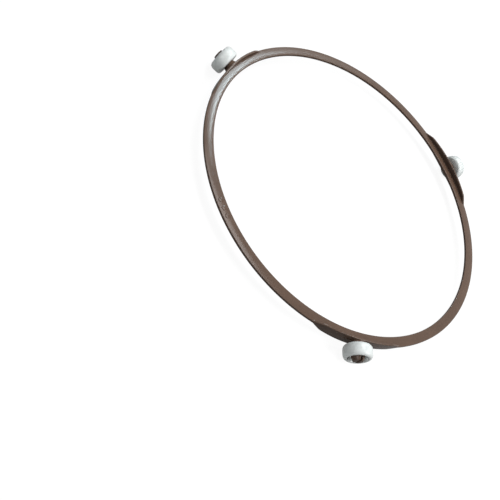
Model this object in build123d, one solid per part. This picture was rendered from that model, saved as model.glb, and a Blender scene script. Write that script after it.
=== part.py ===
from build123d import *
import math
import os

# Roller ring that carries a rotating glass tray. Millimetres, +Z up.
# The origin is the centre of the hoop, halfway through its thickness.

# Hoop
hoop_radius = 88.0
hoop_width = 5.2
hoop_thickness = 1.4
hoop_edge_chamfer = 0.25

# Roller stations, evenly spaced round the hoop
station_count = 3
first_station_angle = -90.0

# Upright wall at each station, flush with the outer edge of the hoop
wall_thickness = 1.1
wall_half_length = 25.2
wall_ramp_length = 5.2
wall_shoulder_height = 2.9
wall_crown_height = 3.8
wall_shoulder_radius = 3.0
wall_edge_chamfer = 0.2

# Tapered boss that holds the roller off the wall
boss_foot_radius = 3.5
boss_face_radius = 3.0
boss_length = 1.7

# Roller
roller_radius = 7.0
roller_width = 6.35
roller_inner_edge_chamfer = 0.5
recess_mouth_radius = 5.0
recess_floor_radius = 4.2
recess_depth = 2.6

# Softened edges of the rim round the recess, as shares of the rim's wall
outer_bevel_share = 0.5
shoulder_radius_share = 0.75
recess_chamfer_share = 0.15

# Split snap axle
axle_radius = 2.5
lip_radius = 3.3
lip_length = 0.9
lip_undercut = 0.15
head_length = 3.2
head_tip_radius = 2.5
head_tip_chamfer = 0.4
slot_width = 1.2
slot_length = 6.2

# Clearances between the roller and the frame
bore_clearance = 0.08
end_clearance = 0.3

# Places that follow from the sizes above, measured outwards from the hoop's axis
hoop_inner_radius = hoop_radius - hoop_width
wall_inner_radius = hoop_radius - wall_thickness
boss_face = hoop_radius + boss_length
roller_inner_face = boss_face + end_clearance
roller_outer_face = roller_inner_face + roller_width
rim_wall = roller_radius - recess_mouth_radius
outer_bevel = rim_wall * outer_bevel_share
recess_floor = roller_outer_face - recess_depth
lip_face = recess_floor + end_clearance
head_tip = lip_face + head_length
station_angles = [first_station_angle + 360.0 * i / station_count for i in range(station_count)]


def make_hoop():
    """Flat hoop with softened edges, turned about Z."""
    section = Pos(hoop_radius - hoop_width / 2, 0) * Rectangle(hoop_width, hoop_thickness)
    section = chamfer(section.vertices(), hoop_edge_chamfer)
    return revolve(Plane.XZ * section, Axis.Z)


def wall_outline():
    """Outline of a wall seen from outside: crowned edges with ramps that run out into the hoop."""
    shoulder = wall_half_length - wall_ramp_length
    ramp_slope = (wall_shoulder_height - hoop_thickness / 2) / wall_ramp_length
    toe = shoulder + wall_shoulder_height / ramp_slope
    top = ThreePointArc(
        (shoulder, wall_shoulder_height), (0, wall_crown_height), (-shoulder, wall_shoulder_height)
    )
    left = Polyline(
        (-shoulder, wall_shoulder_height), (-toe, 0), (-shoulder, -wall_shoulder_height)
    )
    bottom = ThreePointArc(
        (-shoulder, -wall_shoulder_height), (0, -wall_crown_height), (shoulder, -wall_shoulder_height)
    )
    right = Polyline(
        (shoulder, -wall_shoulder_height), (toe, 0), (shoulder, wall_shoulder_height)
    )
    outline = make_face(top + left + bottom + right)
    shoulders = outline.vertices().filter_by(
        lambda v: abs(abs(v.Y) - wall_shoulder_height) < 0.01
    )
    return fillet(shoulders, wall_shoulder_radius)


def make_wall():
    """Curved wall of even thickness at angle 0, cut to its outline from the side."""
    height = 2 * wall_crown_height
    shell = Cylinder(hoop_radius, height) - Cylinder(wall_inner_radius, height)
    side_on = Plane(origin=(0, 0, 0), x_dir=(0, 1, 0), z_dir=(1, 0, 0))
    prism = extrude(side_on * wall_outline(), hoop_radius + wall_thickness)
    wall = shell & prism
    long_edges = wall.edges().filter_by(lambda e: e.length > wall_thickness * 1.5)
    return chamfer(long_edges, wall_edge_chamfer)


def make_axle():
    """Tapered boss, axle and snap head at angle 0, turned about X and split by an upright slot."""
    root = hoop_radius - wall_thickness / 2
    section = make_face(
        Polyline(
            (root, 0),
            (root, boss_foot_radius),
            (hoop_radius, boss_foot_radius),
            (boss_face, boss_face_radius),
            (boss_face, axle_radius),
            (lip_face, axle_radius),
            (lip_face + lip_undercut, lip_radius),
            (lip_face + lip_length, lip_radius),
            (head_tip, head_tip_radius),
            (head_tip, 0),
            close=True,
        )
    )
    tip = section.vertices().filter_by(
        lambda v: abs(v.X - head_tip) < 0.01 and v.Y > head_tip_radius / 2
    )
    section = chamfer(tip, head_tip_chamfer)
    solid = revolve(Plane.XZ * section, Axis.X)
    slot = Pos(head_tip, 0, 0) * Box(2 * slot_length, slot_width, 3 * lip_radius)
    return solid - slot


def make_roller():
    """Roller at angle 0, turned about X, with the snap head's recess in its outer face."""
    bore_radius = axle_radius + bore_clearance
    section = make_face(
        Polyline(
            (roller_inner_face, bore_radius),
            (roller_inner_face, roller_radius),
            (roller_outer_face, roller_radius),
            (roller_outer_face, recess_mouth_radius),
            (recess_floor, recess_floor_radius),
            (recess_floor, bore_radius),
            close=True,
        )
    )

    def corner(x, y):
        return section.vertices().sort_by(lambda v: math.hypot(v.X - x, v.Y - y))[0]

    section = chamfer(corner(roller_outer_face, roller_radius), outer_bevel)
    bevel_start = corner(roller_outer_face - outer_bevel, roller_radius)
    section = fillet(bevel_start, rim_wall * shoulder_radius_share)
    section = chamfer(corner(roller_inner_face, roller_radius), roller_inner_edge_chamfer)
    recess_rim = corner(roller_outer_face, recess_mouth_radius)
    section = chamfer(recess_rim, rim_wall * recess_chamfer_share)
    return revolve(Plane.XZ * section, Axis.X)


def make_ring_frame():
    """The one moulding: hoop, walls, bosses and snap axles."""
    station = make_wall() + make_axle()
    frame = make_hoop()
    for angle in station_angles:
        frame += Rot(0, 0, angle) * station
    return frame


os.makedirs("parts", exist_ok=True)
export_step(make_ring_frame(), "parts/ring_frame.step")
roller = make_roller()
for number, angle in enumerate(station_angles, start=1):
    export_step(Rot(0, 0, angle) * roller, f"parts/roller_wheel_{number}.step")
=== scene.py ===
import bpy
import math
from mathutils import Matrix, Vector


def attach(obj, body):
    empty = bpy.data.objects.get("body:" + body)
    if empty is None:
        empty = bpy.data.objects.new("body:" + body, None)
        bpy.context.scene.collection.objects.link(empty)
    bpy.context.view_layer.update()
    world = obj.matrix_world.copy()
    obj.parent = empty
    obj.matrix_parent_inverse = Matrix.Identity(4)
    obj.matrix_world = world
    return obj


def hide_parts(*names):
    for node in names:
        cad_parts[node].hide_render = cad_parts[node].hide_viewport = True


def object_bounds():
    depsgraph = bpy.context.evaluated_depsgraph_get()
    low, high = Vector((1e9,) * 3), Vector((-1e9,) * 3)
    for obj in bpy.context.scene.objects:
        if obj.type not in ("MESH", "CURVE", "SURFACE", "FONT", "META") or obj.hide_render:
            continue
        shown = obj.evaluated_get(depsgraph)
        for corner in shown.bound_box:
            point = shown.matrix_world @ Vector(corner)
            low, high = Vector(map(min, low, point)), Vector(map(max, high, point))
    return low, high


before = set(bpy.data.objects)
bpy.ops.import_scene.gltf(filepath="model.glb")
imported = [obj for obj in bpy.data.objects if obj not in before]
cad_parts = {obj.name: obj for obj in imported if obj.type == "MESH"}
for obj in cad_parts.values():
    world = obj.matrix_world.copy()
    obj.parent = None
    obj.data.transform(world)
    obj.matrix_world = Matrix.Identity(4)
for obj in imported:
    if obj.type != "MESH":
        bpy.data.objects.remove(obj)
cadLow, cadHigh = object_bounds()
mm = 0.001
print("frame loaded")

# Camera

camera = {
    "azimuth": -132.568,        # where it stands round the ring, degrees from +X
    "elevation": 38.937,
    "distance": 364.58 * mm,    # from the ring's centre
    "aim": (-59.707 * mm, -58.337 * mm, 0.0),
    "roll": 52.12,
    "lens": 49.016,
    "sensor": 36,
    "near": 10 * mm,
}


def towards(azimuth, elevation):
    az, el = math.radians(azimuth), math.radians(elevation)
    return Vector((math.cos(az) * math.cos(el), math.sin(az) * math.cos(el), math.sin(el)))


def makeCamera(c):
    place = c["distance"] * towards(c["azimuth"], c["elevation"])
    data = bpy.data.cameras.new("camera")
    data.lens = c["lens"]
    data.sensor_width = c["sensor"]
    data.clip_start = c["near"]
    cam = bpy.data.objects.new("camera", data)
    bpy.context.scene.collection.objects.link(cam)
    look = (Vector(c["aim"]) - place).to_track_quat("-Z", "Y").to_matrix().to_4x4()
    cam.matrix_world = Matrix.Translation(place) @ look @ Matrix.Rotation(math.radians(c["roll"]), 4, "Z")
    bpy.context.scene.camera = cam


makeCamera(camera)
bpy.context.scene.view_settings.view_transform = "Standard"
print("camera made")


# Small helpers for node trees

columnWidth, rowHeight = 220, 260       # spacing of the nodes in the editor


def addNode(tree, kind, links=None, **settings):
    # settings whose names start in lower case are the node's own, the others are its sockets
    node = tree.nodes.new(kind)
    for name, value in settings.items():
        if name[0].islower():
            setattr(node, name, value)
        else:
            node.inputs[name.replace("_", " ")].default_value = value
    for name, source in (links or {}).items():
        tree.links.new(source, node.inputs[name])
    return node


def plug(tree, sockets, terms):
    # a term is another node's output or a plain value
    for socket, term in zip(sockets, terms):
        if isinstance(term, bpy.types.NodeSocket):
            tree.links.new(term, socket)
        else:
            socket.default_value = term


def calc(tree, operation, *terms):
    node = addNode(tree, "ShaderNodeMath", operation=operation)
    plug(tree, node.inputs, terms)
    return node.outputs[0]


def square(tree, term):
    return calc(tree, "MULTIPLY", term, term)


def vector(tree, x, y, z):
    node = addNode(tree, "ShaderNodeCombineXYZ")
    plug(tree, node.inputs, (x, y, z))
    return node.outputs[0]


def layOut(tree):
    # sets each node one column to the right of what feeds it
    column = {node: 0 for node in tree.nodes}
    for _ in tree.nodes:
        for link in tree.links:
            column[link.to_node] = max(column[link.to_node], column[link.from_node] + 1)
    filled = {}
    for node, place in column.items():
        node.location = (place * columnWidth, -filled.get(place, 0) * rowHeight)
        filled[place] = filled.get(place, 0) + 1


def newMaterial(name):
    mat = bpy.data.materials.new(name)
    mat.use_nodes = True
    mat.node_tree.nodes.clear()
    return mat, mat.node_tree


def grey(level):
    return (level, level, level, 1)


# Floor, world and lights

floorLook = {
    "size": 4.0,
    "bounce": 0.5,          # how pale the floor is for light that bounces off it
    "shown": 0.14,          # how much of the floor's own shading, and so its shadow, the camera sees
    "lift": 0.92,           # light of its own that brings what the camera sees to white
    "inGloss": 0.25,        # what gloss shows of that lift
}


def seesBackground(tree):
    # 1 for the rays that show the background: the camera's own, and those off gloss or through glass
    path = addNode(tree, "ShaderNodeLightPath").outputs
    mirror = calc(tree, "MAXIMUM", path["Is Glossy Ray"], path["Is Transmission Ray"])
    return calc(tree, "MAXIMUM", path["Is Camera Ray"], mirror)


def makeFloor(f):
    half = f["size"] / 2
    corners = [(x * half, y * half, cadLow.z) for x, y in ((-1, -1), (1, -1), (1, 1), (-1, 1))]
    mesh = bpy.data.meshes.new("floor")
    mesh.from_pydata(corners, [], [(0, 1, 2, 3)])
    floor = bpy.data.objects.new("floor", mesh)
    bpy.context.scene.collection.objects.link(floor)
    mat, tree = newMaterial("paleFloor")
    bounce = addNode(tree, "ShaderNodeBsdfDiffuse", Color=grey(f["bounce"]))
    seen = addNode(tree, "ShaderNodeBsdfDiffuse", Color=grey(f["shown"]))
    gloss = addNode(tree, "ShaderNodeLightPath").outputs["Is Glossy Ray"]
    strength = calc(tree, "MULTIPLY_ADD", gloss, f["inGloss"] - f["lift"], f["lift"])
    lift = addNode(tree, "ShaderNodeEmission", {"Strength": strength})
    both = addNode(tree, "ShaderNodeAddShader")
    plug(tree, both.inputs, (seen.outputs[0], lift.outputs[0]))
    mix = addNode(tree, "ShaderNodeMixShader")
    plug(tree, mix.inputs, (seesBackground(tree), bounce.outputs[0], both.outputs[0]))
    addNode(tree, "ShaderNodeOutputMaterial", {"Surface": mix.outputs[0]})
    layOut(tree)
    mesh.materials.append(mat)


makeFloor(floorLook)

worldLook = {
    "fill": 0.025,          # faint light from all round
    "background": 1.0,
}


def makeWorld(w):
    world = bpy.data.worlds.new("studio")
    bpy.context.scene.world = world
    world.use_nodes = True
    tree = world.node_tree
    tree.nodes.clear()
    strength = calc(tree, "MULTIPLY_ADD", seesBackground(tree), w["background"] - w["fill"], w["fill"])
    sky = addNode(tree, "ShaderNodeBackground", {"Strength": strength}, Color=grey(1))
    addNode(tree, "ShaderNodeOutputWorld", {"Surface": sky.outputs[0]})
    layOut(tree)


makeWorld(worldLook)

# Softboxes, each seen from the ring at an azimuth and an elevation
plain, cool = (1.0, 1.0, 1.0), (0.78, 0.94, 1.0)
softboxes = {
    "overhead": {
        "azimuth": 20, "elevation": 85, "distance": 0.9, "size": (0.5, 0.5), "power": 1.3, "tint": plain,
    },
    "key": {
        "azimuth": 330, "elevation": 50, "distance": 0.8, "size": (0.35, 0.35), "power": 3.3, "tint": plain,
    },
    "back": {
        "azimuth": 70, "elevation": 66, "distance": 0.9, "size": (0.35, 0.35), "power": 2.7, "tint": plain,
    },
    "left": {
        "azimuth": 212, "elevation": 42, "distance": 0.8, "size": (0.3, 0.3), "power": 0.9, "tint": plain,
    },
    "halo": {
        "azimuth": 70, "elevation": 36, "distance": 1.2, "size": (0.5, 0.3), "power": 0.5, "tint": plain,
    },
    "glare": {
        "azimuth": 69.6, "elevation": 41, "distance": 1.2, "size": (0.18, 0.17), "power": 1.25, "tint": cool,
    },
    "glint": {
        "azimuth": 65.5, "elevation": 42, "distance": 1.2, "size": (0.05, 0.06), "power": 0.55, "tint": cool,
    },
}


def makeSoftbox(name, s):
    data = bpy.data.lights.new(name, "AREA")
    data.shape = "RECTANGLE"
    data.size, data.size_y = s["size"]
    data.energy = s["power"]
    data.color = s["tint"]
    lamp = bpy.data.objects.new(name, data)
    bpy.context.scene.collection.objects.link(lamp)
    lamp.location = s["distance"] * towards(s["azimuth"], s["elevation"])
    lamp.rotation_mode = "QUATERNION"
    lamp.rotation_quaternion = (-lamp.location).to_track_quat("-Z", "Y")


for boxName, box in softboxes.items():
    makeSoftbox(boxName, box)
print("stage lit")


# Helpers for materials

def noise(tree, place, scale, detail=3.0, roughness=0.5):
    links = {"Vector": place}
    node = addNode(tree, "ShaderNodeTexNoise", links, Scale=scale, Detail=detail, Roughness=roughness)
    return node.outputs[0]


def between(tree, value, low, high):
    # spreads the range low over the range high
    node = addNode(tree, "ShaderNodeMapRange", {"Value": value})
    ends = [node.inputs[name] for name in ("From Min", "From Max", "To Min", "To Max")]
    plug(tree, ends, (*low, *high))
    return node.outputs[0]


def blendColour(tree, share, first, second):
    node = addNode(tree, "ShaderNodeMix", data_type="RGBA")
    colours = [c + (1,) if isinstance(c, tuple) else c for c in (first, second)]
    plug(tree, (node.inputs[0], node.inputs[6], node.inputs[7]), (share, *colours))
    return node.outputs[2]


def planReach(tree, x, y):
    # distance of (x, y) from the axis
    return calc(tree, "SQRT", calc(tree, "ADD", square(tree, x), square(tree, y)))


# Brown moulded plastic: taupe, a little uneven in tone and gloss, scuffed along the hoop, with painted shade
# darkening its upright faces

brownLook = {
    "deep": (0.116, 0.071, 0.049),
    "pale": (0.140, 0.086, 0.060),
    "mottleScale": 70.0,
    "mottleTone": (0.3, 0.7),       # noise levels between which deep turns to pale
    "mottleGloss": (0.25, 0.75),
    "roughness": (0.14, 0.20),
    "gloss": 0.25,
    "ior": 1.48,
    "dust": (0.19, 0.14, 0.11),
    "scuffScale": 2400.0,           # across the hoop, per metre
    "scuffLength": 9.0,             # round the hoop, per radius
    "scuffRange": (0.56, 0.72),     # noise levels between which a scuff comes in
    "patchScale": 45.0,             # the scuffs gather in patches
    "patchRange": (0.48, 0.66),
    "mostDust": 0.55,
    "dustRoughness": 0.12,
    "side": (0.080, 0.049, 0.035),  # painted shade: upright faces are made a little darker in colour
    "paintedShadeRange": (0.1, 0.7),        # from upright to level, as the height of the face's normal
    "paintedShadeShare": (0.25, 1),        # how much of the top's tone shows at either end of the painted shade
    "hub": 1.0 * mm,                # no pattern is read nearer to the axis than this
    "middle": 85.4 * mm,            # the hoop's top is a little crowned about this radius
    "halfWidth": 2.6 * mm,
    "crownDepth": 0.05 * mm,
    "waveScale": 75.0,
    "waveDepth": 0.06 * mm,
    "grainScale": 2600.0,
    "grainDepth": 0.001 * mm,
    "scuffDepth": 0.003 * mm,
    "edge": 0.2 * mm,
    "edgeSamples": 6,
}


def brownPlastic(b):
    mat, tree = newMaterial("brownMoulding")
    place = addNode(tree, "ShaderNodeTexCoord").outputs["Object"]
    x, y, z = addNode(tree, "ShaderNodeSeparateXYZ", {"Vector": place}).outputs
    reach = calc(tree, "MAXIMUM", planReach(tree, x, y), b["hub"])
    along = [calc(tree, "MULTIPLY", calc(tree, "DIVIDE", term, reach), b["scuffLength"]) for term in (x, y)]
    across = calc(tree, "MULTIPLY", calc(tree, "ADD", reach, z), b["scuffScale"])
    scuff = noise(tree, vector(tree, *along, across), 1.0, roughness=0.65)
    mottle = noise(tree, place, b["mottleScale"], detail=4.0, roughness=0.6)
    patches = noise(tree, place, b["patchScale"], detail=2.0)
    grain = noise(tree, place, b["grainScale"], detail=2.0)
    wave = noise(tree, place, b["waveScale"], detail=1.0)

    scuffed = between(tree, scuff, b["scuffRange"], (0, 1))
    worn = calc(tree, "MULTIPLY", scuffed, between(tree, patches, b["patchRange"], (0, b["mostDust"])))
    tone = blendColour(tree, between(tree, mottle, b["mottleTone"], (0, 1)), b["deep"], b["pale"])
    tone = blendColour(tree, worn, tone, b["dust"])
    # painted shade: the tone turns towards the darker side colour as the face's normal turns from up to
    # level
    normal = addNode(tree, "ShaderNodeNewGeometry").outputs["Normal"]
    facing = addNode(tree, "ShaderNodeSeparateXYZ", {"Vector": normal}).outputs["Z"]
    level = between(tree, calc(tree, "ABSOLUTE", facing), b["paintedShadeRange"], b["paintedShadeShare"])
    tone = blendColour(tree, level, b["side"], tone)
    rough = between(tree, mottle, b["mottleGloss"], b["roughness"])
    rough = calc(tree, "ADD", rough, calc(tree, "MULTIPLY", worn, b["dustRoughness"]))

    # heights are in metres, so the bump has a distance of 1
    offMiddle = calc(tree, "DIVIDE", calc(tree, "SUBTRACT", reach, b["middle"]), b["halfWidth"])
    crown = calc(tree, "MAXIMUM", calc(tree, "SUBTRACT", 1.0, square(tree, offMiddle)), 0.0)
    height = calc(tree, "MULTIPLY", crown, b["crownDepth"])
    for relief, depth in ((wave, b["waveDepth"]), (grain, b["grainDepth"]), (scuff, b["scuffDepth"])):
        height = calc(tree, "MULTIPLY_ADD", relief, depth, height)
    soft = addNode(tree, "ShaderNodeBevel", samples=b["edgeSamples"], Radius=b["edge"])
    links = {"Height": height, "Normal": soft.outputs[0]}
    bump = addNode(tree, "ShaderNodeBump", links, Distance=1.0, Strength=1.0)

    links = {"Base Color": tone, "Roughness": rough, "Normal": bump.outputs[0]}
    shader = addNode(tree, "ShaderNodeBsdfPrincipled", links, IOR=b["ior"], Specular_IOR_Level=b["gloss"])
    addNode(tree, "ShaderNodeOutputMaterial", {"Surface": shader.outputs[0]})
    layOut(tree)
    return mat


brown = brownPlastic(brownLook)


# White roller plastic: smooth, faintly translucent, with a light sheen and fine turning marks

whiteLook = {
    "base": (0.89, 0.945, 0.935),
    "shade": (0.86, 0.90, 0.88),
    "cloudScale": 260.0,
    "cloudTone": (0.35, 0.7),   # noise levels between which base turns to shade
    "cloudSheen": (0.3, 0.7),
    "roughness": (0.25, 0.36),
    "ior": 1.5,
    "glow": 0.3,                # share of the light that goes in and comes out again
    "depth": 1.5 * mm,
    "markScale": 1500.0,        # turning marks, per metre
    "markDepth": 0.001 * mm,
    "markStrength": 0.5,
}


def whitePlastic(w):
    mat, tree = newMaterial("whiteRoller")
    place = addNode(tree, "ShaderNodeTexCoord").outputs["Object"]
    turned = addNode(tree, "ShaderNodeAttribute", attribute_name="turned").outputs["Vector"]
    x, y, z = addNode(tree, "ShaderNodeSeparateXYZ", {"Vector": turned}).outputs
    marks = noise(tree, vector(tree, planReach(tree, x, y), z, 0.0), w["markScale"], detail=2.0)
    cloud = noise(tree, place, w["cloudScale"])
    tone = blendColour(tree, between(tree, cloud, w["cloudTone"], (0, 1)), w["base"], w["shade"])
    rough = between(tree, cloud, w["cloudSheen"], w["roughness"])
    bump = addNode(tree, "ShaderNodeBump", {"Height": marks}, Distance=w["markDepth"],
                   Strength=w["markStrength"])
    links = {"Base Color": tone, "Roughness": rough, "Normal": bump.outputs[0]}
    shader = addNode(tree, "ShaderNodeBsdfPrincipled", links, IOR=w["ior"], Subsurface_Weight=w["glow"],
                     Subsurface_Radius=(1.0, 1.0, 1.0), Subsurface_Scale=w["depth"])
    addNode(tree, "ShaderNodeOutputMaterial", {"Surface": shader.outputs[0]})
    layOut(tree)
    return mat


white = whitePlastic(whiteLook)
print("plastics mixed")


# Helpers for shapes made by Geometry Nodes

hub = 0.0001 * mm       # radius of the circle that a profile is drawn round: as good as none
weld = 0.001 * mm       # points nearer to each other than this are merged


def newGroup(name, numbers):
    # numbers are the group's inputs, whole ones for counts
    tree = bpy.data.node_groups.new(name, "GeometryNodeTree")
    tree.interface.new_socket("Geometry", in_out="INPUT", socket_type="NodeSocketGeometry")
    for label, value in numbers.items():
        kind = "NodeSocketInt" if isinstance(value, int) else "NodeSocketFloat"
        tree.interface.new_socket(label, in_out="INPUT", socket_type=kind)
    tree.interface.new_socket("Geometry", in_out="OUTPUT", socket_type="NodeSocketGeometry")
    given = addNode(tree, "NodeGroupInput").outputs
    return tree, given


def closeGroup(tree, shape, mat):
    real = addNode(tree, "GeometryNodeRealizeInstances", {"Geometry": shape})
    coat = addNode(tree, "GeometryNodeSetMaterial", {"Geometry": real.outputs[0]}, Material=mat)
    addNode(tree, "NodeGroupOutput", {"Geometry": coat.outputs[0]})
    layOut(tree)


def profileMesh(name, points, closed=True):
    # points are (place along the axis, distance from it, rounding), in millimetres
    mesh = bpy.data.meshes.new(name)
    edges = [(i, i + 1) for i in range(len(points) - 1)]
    if closed:
        edges.append((len(points) - 1, 0))
    mesh.from_pydata([(r * mm, -a * mm, 0) for a, r, _ in points], edges, [])
    rounding = mesh.attributes.new("rounding", "FLOAT", "POINT")
    rounding.data.foreach_set("value", [e * mm for _, _, e in points])
    return mesh


def grow(name, mesh, group, numbers, crease):
    # runs the group on the mesh and keeps the result as a plain mesh
    seed = bpy.data.objects.new(name + "Seed", mesh)
    bpy.context.scene.collection.objects.link(seed)
    modifier = seed.modifiers.new(name, "NODES")
    modifier.node_group = group
    for item in group.interface.items_tree:
        if item.in_out == "INPUT" and item.name in numbers:
            modifier[item.identifier] = numbers[item.name]
    seed.update_tag()
    shape = bpy.data.meshes.new_from_object(seed.evaluated_get(bpy.context.evaluated_depsgraph_get()))
    seed.modifiers.clear()
    bpy.data.objects.remove(seed)
    shape.name = name
    for polygon in shape.polygons:
        polygon.use_smooth = True
    shape.set_sharp_from_angle(angle=math.radians(crease))
    piece = bpy.data.objects.new(name, shape)
    bpy.context.scene.collection.objects.link(piece)
    return piece


def latheNodes(tree, profile, segments, arcPoints):
    # turns the profile about the Z axis: its first coordinate is the distance from it
    line = addNode(tree, "GeometryNodeMeshToCurve", {"Mesh": profile})
    rounding = addNode(tree, "GeometryNodeInputNamedAttribute", data_type="FLOAT", Name="rounding")
    links = {"Curve": line.outputs[0], "Radius": rounding.outputs[0]}
    bent = addNode(tree, "GeometryNodeFilletCurve", links, mode="POLY", Count=arcPoints, Limit_Radius=True)
    axis = addNode(tree, "GeometryNodeCurvePrimitiveCircle", {"Resolution": segments}, Radius=hub)
    links = {"Curve": axis.outputs[0], "Profile Curve": bent.outputs[0]}
    turned = addNode(tree, "GeometryNodeCurveToMesh", links)
    joined = addNode(tree, "GeometryNodeMergeByDistance", {"Geometry": turned.outputs[0]}, Distance=weld)
    return joined.outputs[0]


def beamNodes(tree, path, width, height, rounding, arcPoints):
    # a rounded bar of even section along the path
    outline = addNode(tree, "GeometryNodeCurvePrimitiveQuadrilateral", {"Width": width, "Height": height})
    links = {"Curve": outline.outputs[0], "Radius": rounding}
    bent = addNode(tree, "GeometryNodeFilletCurve", links, mode="POLY", Count=arcPoints)
    links = {"Curve": path, "Profile Curve": bent.outputs[0]}
    return addNode(tree, "GeometryNodeCurveToMesh", links, Fill_Caps=True).outputs[0]


def turnNodes(tree, given, step):
    # the angle of each repeat in turn
    index = addNode(tree, "GeometryNodeInputIndex").outputs[0]
    return calc(tree, "ADD", calc(tree, "MULTIPLY", index, step), given["First angle"])


# Stations: a wall, an axle and a roller stand at each

stations = {
    "count": 3,
    "first": -90.0,         # degrees round the hoop
}

# Rollers, turned about their axles and set out from the hoop. Sizes in millimetres

roller = {
    "inner": 89.76,             # distance of the inner face from the hoop's axis: it lies close to the boss
    "width": 6.35,
    "radius": 7.0,
    "outerRim": (2.4, 1.45),    # how far the tread's softened edges reach, along the axle and towards it
    "innerRim": (1.9, 1.2),
    "rimSteps": 10,
    "mouth": 5.2,               # the recess for the snap head
    "mouthRounding": 0.5,
    "floor": 4.2,
    "floorRounding": 0.35,
    "depth": 2.6,
    "bore": 2.58,
    "boreRounding": 0.2,
    "segments": 144,
}


def softRim(r, face, reach, inwards):
    # quarter of an oval from the face to the tread, inwards being +1 or -1 along the axle
    along, across = reach
    turns = [math.pi / 2 * step / r["rimSteps"] for step in range(r["rimSteps"] + 1)]
    return [
        (face + inwards * along * (1 - math.cos(turn)), r["radius"] - across * (1 - math.sin(turn)), 0.0)
        for turn in turns
    ]


def rollerProfile(r):
    outer = r["inner"] + r["width"]
    floor = outer - r["depth"]
    recess = [
        (r["inner"], r["bore"], r["boreRounding"]),
        (floor, r["bore"], r["boreRounding"]),
        (floor, r["floor"], r["floorRounding"]),
        (outer, r["mouth"], r["mouthRounding"]),
    ]
    return recess + softRim(r, outer, r["outerRim"], -1) + softRim(r, r["inner"], r["innerRim"], 1)[::-1]


def rollerGroup(mat, numbers):
    tree, given = newGroup("rollerTurning", numbers)
    turned = latheNodes(tree, given["Geometry"], given["Segments"], arcPoints=7)
    place = addNode(tree, "GeometryNodeInputPosition").outputs[0]
    keep = addNode(tree, "GeometryNodeStoreNamedAttribute", {"Geometry": turned, "Value": place},
                   data_type="FLOAT_VECTOR", domain="POINT", Name="turned")
    facing = vector(tree, 0.0, math.pi / 2, given["Angle"])
    out = addNode(tree, "GeometryNodeTransform", {"Geometry": keep.outputs[0], "Rotation": facing})
    closeGroup(tree, out.outputs[0], mat)
    return tree


def makeRollers(r):
    numbers = {"Segments": r["segments"], "Angle": 0.0}
    group = rollerGroup(white, numbers)
    for number in range(stations["count"]):
        numbers["Angle"] = math.radians(stations["first"] + number * 360 / stations["count"])
        profile = profileMesh("rollerProfile", rollerProfile(r))
        wheel = grow(f"rollerShown{number + 1}", profile, group, numbers, crease=60)
        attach(wheel, f"roller_{number + 1}")
        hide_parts(f"roller_wheel_{number + 1}")


makeRollers(roller)
print("rollers turned")


# The ring's moulding: hoop, three walls with crowned edges, bosses and split snap axles.
# Sizes in millimetres, places measured from the hoop's axis

hoop = {
    "radius": 87.98,
    "width": 5.18,
    "thickness": 1.4,
    "rounding": 0.2,
    "segments": 720,
}

wall = {
    "radius": 88.0,
    "thickness": 1.1,
    "crown": 3.8,               # height above the hoop's middle plane, half way along
    "shoulder": 2.9,            # and where the ramps begin
    "halfLength": 25.2,
    "runOut": 1.0,              # the bar is longer by this, and ends inside the hoop
    "ramp": 5.2,
    "softening": 0.5,           # how softly the crowned edge turns into the ramp
    "rounding": 0.4,
    "segments": 220,
}

axle = {
    "root": 87.45,              # it starts inside the wall
    "wallFace": 88.0,
    "footRadius": 3.5,
    "footFlare": 0.25,
    "footRounding": 0.2,
    "bossFace": 89.7,
    "bossRadius": 3.0,
    "bossRounding": 0.15,
    "radius": 2.5,
    "cornerRounding": 0.05,
    "lipFace": 94.05,
    "undercut": 0.15,
    "lipRadius": 3.3,
    "lipRounding": 0.12,
    "lipLength": 0.9,
    "lipEndRounding": 0.3,
    "tip": 97.25,
    "tipRadius": 2.5,
    "tipRounding": 0.45,
    "slotWidth": 1.2,
    "slotLength": 6.2,
    "slotHeight": 20.0,         # taller than the head, so that it cuts right through
    "segments": 96,
}


def axleProfile(a):
    lipEnd = a["lipFace"] + a["lipLength"]
    flare = a["footRadius"] + a["footFlare"]
    return [
        (a["tip"], 0.0, 0.0),
        (a["tip"], a["tipRadius"], a["tipRounding"]),
        (lipEnd, a["lipRadius"], a["lipEndRounding"]),
        (a["lipFace"] + a["undercut"], a["lipRadius"], a["lipRounding"]),
        (a["lipFace"], a["radius"], a["cornerRounding"]),
        (a["bossFace"], a["radius"], a["cornerRounding"]),
        (a["bossFace"], a["bossRadius"], a["bossRounding"]),
        (a["wallFace"] + a["footFlare"], a["footRadius"], a["footRounding"]),
        (a["wallFace"], flare, 0.0),
        (a["root"], flare, 0.0),
        (a["root"], 0.0, 0.0),
    ]


def hoopNodes(tree, given):
    width, segments = given["Hoop width"], given["Hoop segments"]
    middle = calc(tree, "SUBTRACT", given["Hoop radius"], calc(tree, "MULTIPLY", width, 0.5))
    path = addNode(tree, "GeometryNodeCurvePrimitiveCircle", {"Resolution": segments, "Radius": middle})
    return beamNodes(tree, path.outputs[0], width, given["Hoop thickness"], given["Hoop rounding"],
                     arcPoints=6)


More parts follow.
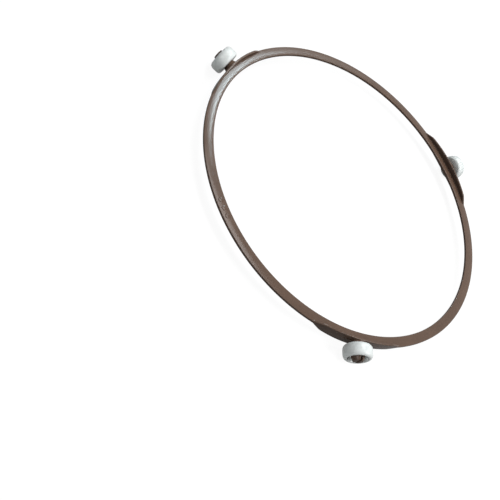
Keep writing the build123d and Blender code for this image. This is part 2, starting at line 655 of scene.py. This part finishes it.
def wallNodes(tree, given):
    # a bent bar as high as the crown, whose edges are then drawn in along the wall
    crown, shoulder, ramp = given["Wall crown"], given["Wall shoulder"], given["Wall ramp"]
    flat = calc(tree, "SUBTRACT", given["Wall half length"], ramp)
    halfThickness = calc(tree, "MULTIPLY", given["Wall thickness"], 0.5)
    middle = calc(tree, "SUBTRACT", given["Wall radius"], halfThickness)
    halfChord = calc(tree, "ADD", given["Wall half length"], given["Wall run-out"])
    reach = calc(tree, "ARCSINE", calc(tree, "DIVIDE", halfChord, middle))
    path = addNode(tree, "GeometryNodeCurveArc", {
        "Resolution": given["Wall segments"],
        "Radius": middle,
        "Start Angle": calc(tree, "MULTIPLY", reach, -1.0),
        "Sweep Angle": calc(tree, "MULTIPLY", reach, 2.0),
    }, mode="RADIUS")
    fullHeight = calc(tree, "MULTIPLY", crown, 2.0)
    bar = beamNodes(tree, path.outputs[0], given["Wall thickness"], fullHeight, given["Wall rounding"],
                    arcPoints=6)

    # bow is the crowned edge and run the straight ramp, and the lower of the two holds
    place = addNode(tree, "GeometryNodeInputPosition").outputs[0]
    _, y, z = addNode(tree, "ShaderNodeSeparateXYZ", {"Vector": place}).outputs
    side = calc(tree, "ABSOLUTE", y)
    share = calc(tree, "DIVIDE", side, flat)
    drop = calc(tree, "SUBTRACT", crown, shoulder)
    bow = calc(tree, "SUBTRACT", crown, calc(tree, "MULTIPLY", square(tree, share), drop))
    halfHoop = calc(tree, "MULTIPLY", given["Hoop thickness"], 0.5)
    slope = calc(tree, "DIVIDE", calc(tree, "SUBTRACT", shoulder, halfHoop), ramp)
    pastFlat = calc(tree, "SUBTRACT", side, flat)
    run = calc(tree, "SUBTRACT", shoulder, calc(tree, "MULTIPLY", pastFlat, slope))
    height = calc(tree, "SMOOTH_MIN", bow, run, given["Wall softening"])
    draw = calc(tree, "MULTIPLY", calc(tree, "SIGN", z), calc(tree, "SUBTRACT", height, crown))
    offset = vector(tree, 0.0, 0.0, draw)
    return addNode(tree, "GeometryNodeSetPosition", {"Geometry": bar, "Offset": offset}).outputs[0]


def axleNodes(tree, given):
    turned = latheNodes(tree, given["Geometry"], given["Axle segments"], arcPoints=5)
    facing = addNode(tree, "GeometryNodeTransform", {"Geometry": turned}, Rotation=(0, math.pi / 2, 0))
    twice = calc(tree, "MULTIPLY", given["Slot length"], 2.0)
    size = vector(tree, twice, given["Slot width"], given["Slot height"])
    cutter = addNode(tree, "GeometryNodeMeshCube", {"Size": size})
    tip = vector(tree, given["Tip"], 0.0, 0.0)
    atTip = addNode(tree, "GeometryNodeTransform", {"Geometry": cutter.outputs[0], "Translation": tip})
    links = {"Mesh 1": facing.outputs[0], "Mesh 2": atTip.outputs[0]}
    return addNode(tree, "GeometryNodeMeshBoolean", links, operation="DIFFERENCE").outputs[0]


def ringGroup(mat, numbers):
    tree, given = newGroup("ringMoulding", numbers)
    station = addNode(tree, "GeometryNodeJoinGeometry")
    for part in (wallNodes(tree, given), axleNodes(tree, given)):
        tree.links.new(part, station.inputs[0])
    spots = addNode(tree, "GeometryNodePoints", {"Count": given["Stations"]})
    turn = turnNodes(tree, given, calc(tree, "DIVIDE", math.tau, given["Stations"]))
    around = addNode(tree, "GeometryNodeInstanceOnPoints", {
        "Points": spots.outputs[0],
        "Instance": station.outputs[0],
        "Rotation": vector(tree, 0.0, 0.0, turn),
    })
    whole = addNode(tree, "GeometryNodeJoinGeometry")
    for part in (around.outputs[0], hoopNodes(tree, given)):
        tree.links.new(part, whole.inputs[0])
    closeGroup(tree, whole.outputs[0], mat)
    return tree


def makeRing(h, w, a):
    numbers = {
        "Stations": stations["count"],
        "First angle": math.radians(stations["first"]),
        "Hoop radius": h["radius"] * mm,
        "Hoop width": h["width"] * mm,
        "Hoop thickness": h["thickness"] * mm,
        "Hoop rounding": h["rounding"] * mm,
        "Hoop segments": h["segments"],
        "Wall radius": w["radius"] * mm,
        "Wall thickness": w["thickness"] * mm,
        "Wall crown": w["crown"] * mm,
        "Wall shoulder": w["shoulder"] * mm,
        "Wall half length": w["halfLength"] * mm,
        "Wall run-out": w["runOut"] * mm,
        "Wall ramp": w["ramp"] * mm,
        "Wall softening": w["softening"] * mm,
        "Wall rounding": w["rounding"] * mm,
        "Wall segments": w["segments"],
        "Tip": a["tip"] * mm,
        "Slot width": a["slotWidth"] * mm,
        "Slot length": a["slotLength"] * mm,
        "Slot height": a["slotHeight"] * mm,
        "Axle segments": a["segments"],
    }
    profile = profileMesh("axleProfile", axleProfile(a), closed=False)
    piece = grow("ringShown", profile, ringGroup(brown, numbers), numbers, crease=40)
    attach(piece, "ring")
    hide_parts("ring_frame")


makeRing(hoop, wall, axle)
print("ring moulded")


# Plain raised pips on the hoop's top. Sizes in millimetres

pips = {
    "count": 3,
    "first": 206.5,         # degrees round the hoop
    "pitch": 2.75,
    "reach": 85.5,          # distance from the hoop's axis
    "top": 0.7,             # the hoop's top, which they stand on
    "sunk": 0.1,            # their feet lie this far inside it
    "height": 0.25,
    "radius": 1.25,
    "slant": 0.08,
    "rounding": 0.18,
    "segments": 40,
}


def pipProfile(p):
    foot, head = p["top"] - p["sunk"], p["top"] + p["height"]
    return [
        (head, 0.0, 0.0),
        (head, p["radius"] - p["slant"], p["rounding"]),
        (foot, p["radius"], 0.0),
        (foot, 0.0, 0.0),
    ]


def pipGroup(mat, numbers):
    tree, given = newGroup("pips", numbers)
    turned = latheNodes(tree, given["Geometry"], given["Segments"], arcPoints=4)
    turn = turnNodes(tree, given, given["Pitch"])
    x, y = [calc(tree, "MULTIPLY", calc(tree, way, turn), given["Reach"]) for way in ("COSINE", "SINE")]
    spot = vector(tree, x, y, 0.0)
    spots = addNode(tree, "GeometryNodePoints", {"Count": given["Count"], "Position": spot})
    links = {"Points": spots.outputs[0], "Instance": turned}
    around = addNode(tree, "GeometryNodeInstanceOnPoints", links)
    closeGroup(tree, around.outputs[0], mat)
    return tree


def makePips(p):
    numbers = {
        "Count": p["count"],
        "First angle": math.radians(p["first"]),
        "Pitch": math.radians(p["pitch"]),
        "Reach": p["reach"] * mm,
        "Segments": p["segments"],
    }
    profile = profileMesh("pipProfile", pipProfile(p), closed=False)
    piece = grow("pipsShown", profile, pipGroup(brown, numbers), numbers, crease=40)
    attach(piece, "ring")


makePips(pips)
print("pips raised")
